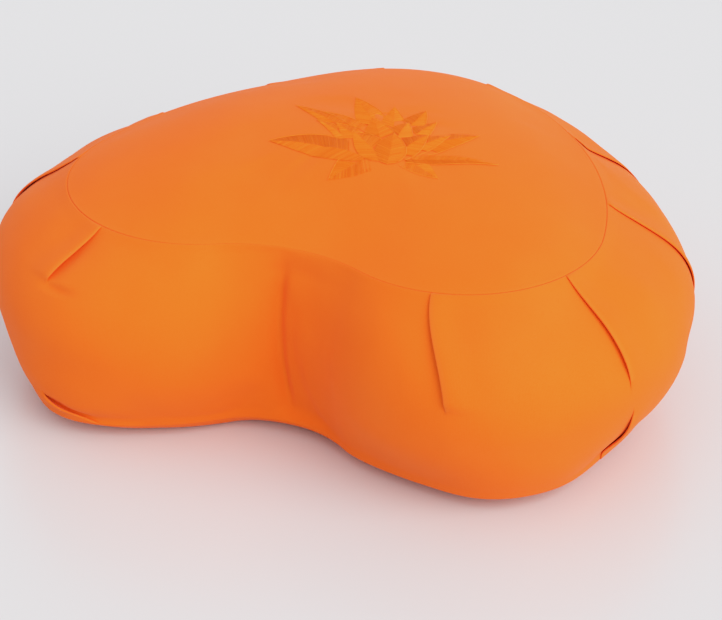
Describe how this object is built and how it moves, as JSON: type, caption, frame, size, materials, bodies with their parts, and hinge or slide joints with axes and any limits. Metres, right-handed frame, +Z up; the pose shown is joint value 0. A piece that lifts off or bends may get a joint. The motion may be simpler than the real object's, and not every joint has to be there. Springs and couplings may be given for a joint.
{
  "type": "zafu meditation cushion",
  "caption": "Crescent meditation cushion of woven cotton: a crowned kidney-shaped top with a lotus, a pleated side band and a flat underside.",
  "frame": {"origin": "on the resting surface, under the middle of the cushion's box", "axes": "+X along the cushion from its left lobe to its right lobe, its longest side; -Y out of the hollow front; +Z up through the crown"},
  "size_m": [0.459, 0.3812, 0.1685],
  "materials": {
    "top_cotton": "woven cotton, matt, with a tone-on-tone embroidered lotus",
    "band_cotton": "woven cotton, matt",
    "base_cotton": "woven cotton, matt"
  },
  "bodies": {
    "root": {"top_panel": "top_cotton", "side_band": "band_cotton", "bottom_panel": "base_cotton"}
  },
  "joints": []
}
